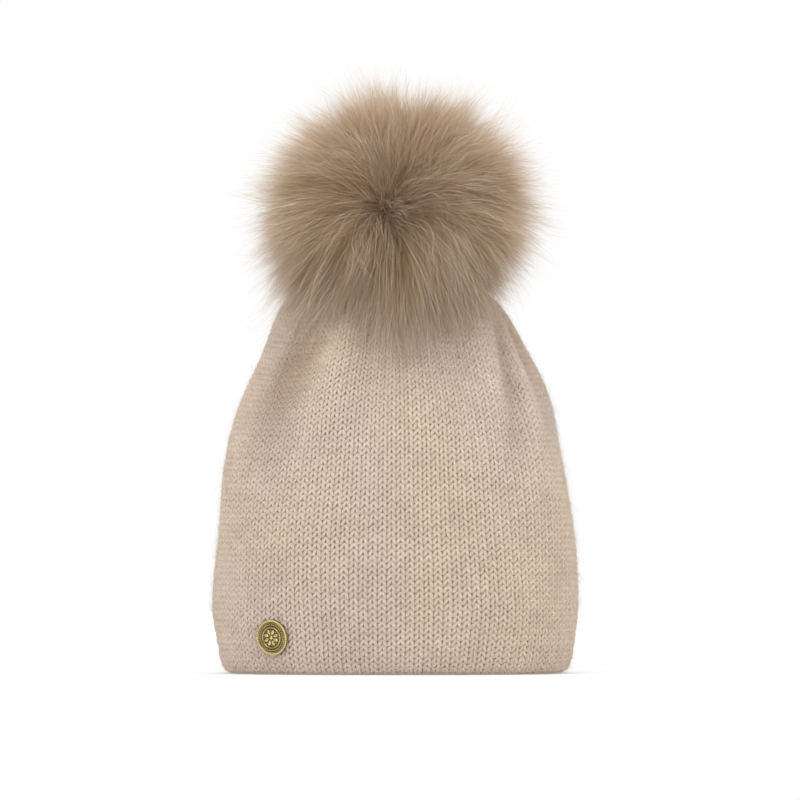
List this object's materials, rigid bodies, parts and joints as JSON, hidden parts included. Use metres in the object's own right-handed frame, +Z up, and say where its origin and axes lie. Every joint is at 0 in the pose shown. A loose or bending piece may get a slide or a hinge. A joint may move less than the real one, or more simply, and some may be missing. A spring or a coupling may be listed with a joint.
{
  "type": "pom pom beanie",
  "caption": "Lined knit beanie with a turned-up hem, a large fur pom on a press stud at the crown and a small round metal badge near the rim.",
  "frame": {"origin": "middle of the rim, on the plane that the hat stands on", "axes": "+Z up from the rim to the pom, -Y towards the front with the badge, +X to the right seen from the front"},
  "size_m": [0.212, 0.164, 0.3447],
  "materials": {
    "knit": "soft fuzzy stockinette knit",
    "lining": "fine brushed jersey",
    "thread": "twisted sewing thread",
    "felt": "pressed felt",
    "snap_steel": "nickel plated",
    "spring_wire": "spring wire",
    "leather": "suede side out",
    "pelt": "dense underfur on skin",
    "filling": "polyester fibre",
    "fur": "long soft fur, pale tips",
    "gold": "polished gold plate",
    "woven_label": "damask weave, blank",
    "satin_label": "satin, blank"
  },
  "bodies": {
    "hat": {"knit_shell": "knit", "knit_lining": "lining", "back_seam": "knit", "hem_stitches": "thread", "crown_gather_yarn": "knit", "crown_patch": "felt", "badge_medallion": "gold", "badge_bezel": "gold", "badge_posts": "gold", "badge_washer": "snap_steel", "neck_label": "woven_label", "neck_label_stitches": "thread"},
    "stud": {"snap_post_cap": "snap_steel", "snap_stud": "snap_steel"},
    "pom": {"snap_socket": "snap_steel", "snap_spring": "spring_wire", "snap_socket_ring": "snap_steel", "pom_base": "leather", "pom_base_stitches": "thread", "pom_pelt": "pelt", "pom_draw_thread": "thread", "pom_filling": "filling", "pom_fur": "fur"},
    "label": {"care_label": "satin_label"}
  },
  "joints": [
    {"name": "pom_spin", "type": "hinge", "parent": "hat", "child": "stud", "pos_m": [0, 0, 0.232], "axis": [0, 0, 1], "continuous": true},
    {"name": "pom_pull", "type": "slide", "parent": "stud", "child": "pom", "axis": [0, 0, 1], "range_m": [0, 0.06]},
    {"name": "label_flap", "type": "hinge", "parent": "hat", "child": "label", "pos_m": [0, 0.07335, 0.0575], "axis": [-1, 0, 0], "range_deg": [0, 100]}
  ]
}
